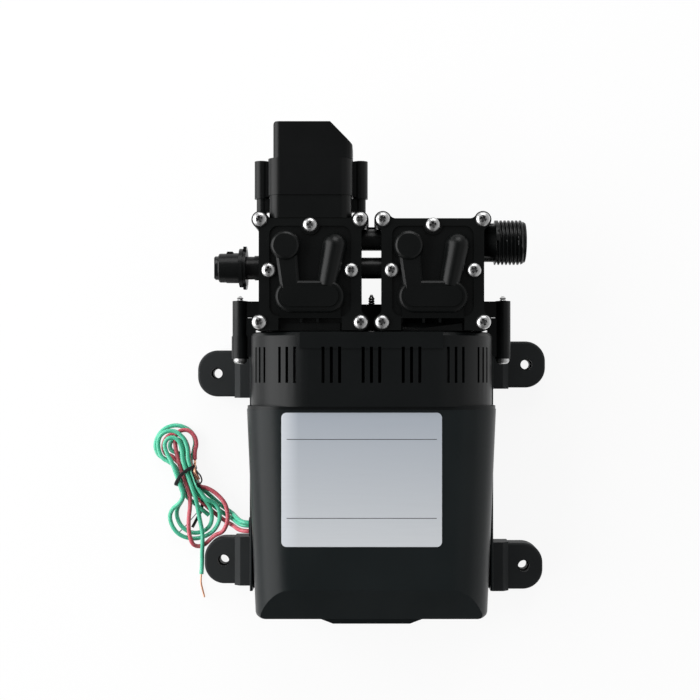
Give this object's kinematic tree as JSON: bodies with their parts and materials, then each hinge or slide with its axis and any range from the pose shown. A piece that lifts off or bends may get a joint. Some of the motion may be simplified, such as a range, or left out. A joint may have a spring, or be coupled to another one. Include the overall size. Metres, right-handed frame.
{
  "type": "diaphragm water pump",
  "caption": "Twin motor diaphragm water pump with pressure switch, threaded outlet, clipped inlet, rubber feet and tied wire hank.",
  "frame": {"origin": "middle of the object's outline without the wires, to about a millimetre, on the plane under the rubber feet", "axes": "+X towards the threaded outlet, +Y along the motors towards the pressure switch, +Z out of the rating label, away from the feet"},
  "size_m": [0.2016, 0.237, 0.075],
  "materials": {
    "cover_plastic": "fine satin grain",
    "head_plastic": "satin, glass filled nylon",
    "switch_plastic": "satin",
    "plug_plastic": "slight gloss",
    "micro_case": "matte",
    "button_plastic": "matte",
    "foot_rubber": "matte",
    "seal_rubber": "matte",
    "zinc_screw": "bright zinc plating",
    "label_film": "brushed silver film",
    "can_steel": "zinc plated, rolled",
    "magnet_ferrite": "matte sintered",
    "brush_cap_plastic": "matte",
    "brush_carbon": "dull graphite",
    "shaft_steel": "ground",
    "bearing_steel": "polished",
    "armature_iron": "laminated iron with enamelled wire",
    "commutator_copper": "turned",
    "crank_metal": "die cast",
    "rod_plastic": "satin",
    "green_wire": "soft gloss insulation",
    "red_wire": "soft gloss insulation",
    "tie_plastic": "matte"
  },
  "bodies": {
    "housing": {"motor_cover": "cover_plastic", "vent_collar": "cover_plastic", "base_tray": "cover_plastic", "crank_housing": "head_plastic", "left_valve_body": "head_plastic", "right_valve_body": "head_plastic", "left_head_cover": "head_plastic", "right_head_cover": "head_plastic", "suction_link": "head_plastic", "discharge_link": "head_plastic", "inlet_connector": "head_plastic", "retaining_clip": "head_plastic", "switch_body": "switch_plastic", "switch_cap": "switch_plastic", "micro_switch": "micro_case", "cover_gaskets": "seal_rubber", "umbrella_valves": "seal_rubber", "port_rings": "seal_rubber", "switch_diaphragm": "seal_rubber", "left_diaphragm": "seal_rubber", "right_diaphragm": "seal_rubber", "wire_grommet": "seal_rubber", "head_screws": "zinc_screw", "boss_screws": "zinc_screw", "base_screws": "zinc_screw", "switch_screws": "zinc_screw", "rating_label": "label_film", "left_motor_can": "can_steel", "right_motor_can": "can_steel", "motor_magnets": "magnet_ferrite", "brush_caps": "brush_cap_plastic", "carbon_brushes": "brush_carbon", "switch_spring": "shaft_steel", "front_bearings": "bearing_steel", "green_lead_a": "green_wire", "green_lead_b": "green_wire", "green_hank": "green_wire", "green_tail": "green_wire", "red_lead": "red_wire", "red_hank": "red_wire", "wire_tie": "tie_plastic"},
    "left_rotor": {"left_shaft": "shaft_steel", "left_armature": "armature_iron", "left_commutator": "commutator_copper", "left_eccentric": "crank_metal"},
    "right_rotor": {"right_shaft": "shaft_steel", "right_armature": "armature_iron", "right_commutator": "commutator_copper", "right_eccentric": "crank_metal"},
    "left_con_rod": {"left_rod": "rod_plastic", "left_rod_bearing": "bearing_steel"},
    "right_con_rod": {"right_rod": "rod_plastic", "right_rod_bearing": "bearing_steel"},
    "inlet_plug": {"transit_plug": "plug_plastic"},
    "plunger": {"switch_plunger": "switch_plastic"},
    "button": {"switch_button": "button_plastic"},
    "upper_left_foot": {"foot_upper_left": "foot_rubber"},
    "upper_right_foot": {"foot_upper_right": "foot_rubber"},
    "lower_left_foot": {"foot_lower_left": "foot_rubber"},
    "lower_right_foot": {"foot_lower_right": "foot_rubber"}
  },
  "joints": [
    {"name": "left_motor_turn", "type": "hinge", "parent": "housing", "child": "left_rotor", "pos_m": [-0.02845, 0, 0.0376], "axis": [0, 1, 0], "continuous": true},
    {"name": "left_rod_swing", "type": "hinge", "parent": "left_rotor", "child": "left_con_rod", "pos_m": [-0.02845, 0.0464, 0.036], "axis": [0, 1, 0], "continuous": true, "deforming": ["left_diaphragm"]},
    {"name": "right_motor_turn", "type": "hinge", "parent": "housing", "child": "right_rotor", "pos_m": [0.02845, 0, 0.0376], "axis": [0, 1, 0], "continuous": true},
    {"name": "right_rod_swing", "type": "hinge", "parent": "right_rotor", "child": "right_con_rod", "pos_m": [0.02845, 0.0464, 0.036], "axis": [0, 1, 0], "continuous": true, "deforming": ["right_diaphragm"]},
    {"name": "inlet_plug_pull", "type": "slide", "parent": "housing", "child": "inlet_plug", "axis": [-1, 0, 0], "range_m": [0, 0.02]},
    {"name": "plunger_stroke", "type": "slide", "parent": "housing", "child": "plunger", "axis": [0, 1, 0], "range_m": [0, 0.0008], "stiffness_N_per_m": 4000, "springref_m": -0.0006, "deforming": ["switch_spring"]},
    {"name": "button_stroke", "type": "slide", "parent": "housing", "child": "button", "axis": [0, 1, 0], "range_m": [0, 0.0008]},
    {"name": "upper_left_foot_slide", "type": "slide", "parent": "housing", "child": "upper_left_foot", "axis": [0, 1, 0], "range_m": [-0.01, 0.005]},
    {"name": "upper_right_foot_slide", "type": "slide", "parent": "housing", "child": "upper_right_foot", "axis": [0, 1, 0], "range_m": [-0.01, 0.004]},
    {"name": "lower_left_foot_slide", "type": "slide", "parent": "housing", "child": "lower_left_foot", "axis": [0, 1, 0], "range_m": [-0.006, 0]},
    {"name": "lower_right_foot_slide", "type": "slide", "parent": "housing", "child": "lower_right_foot", "axis": [0, 1, 0], "range_m": [-0.002, 0.01]}
  ],
  "couplings": [
    {"joint": "left_rod_swing", "follows": "left_motor_turn", "ratio": -1},
    {"joint": "right_rod_swing", "follows": "right_motor_turn", "ratio": -1},
    {"joint": "button_stroke", "follows": "plunger_stroke", "ratio": 1}
  ]
}
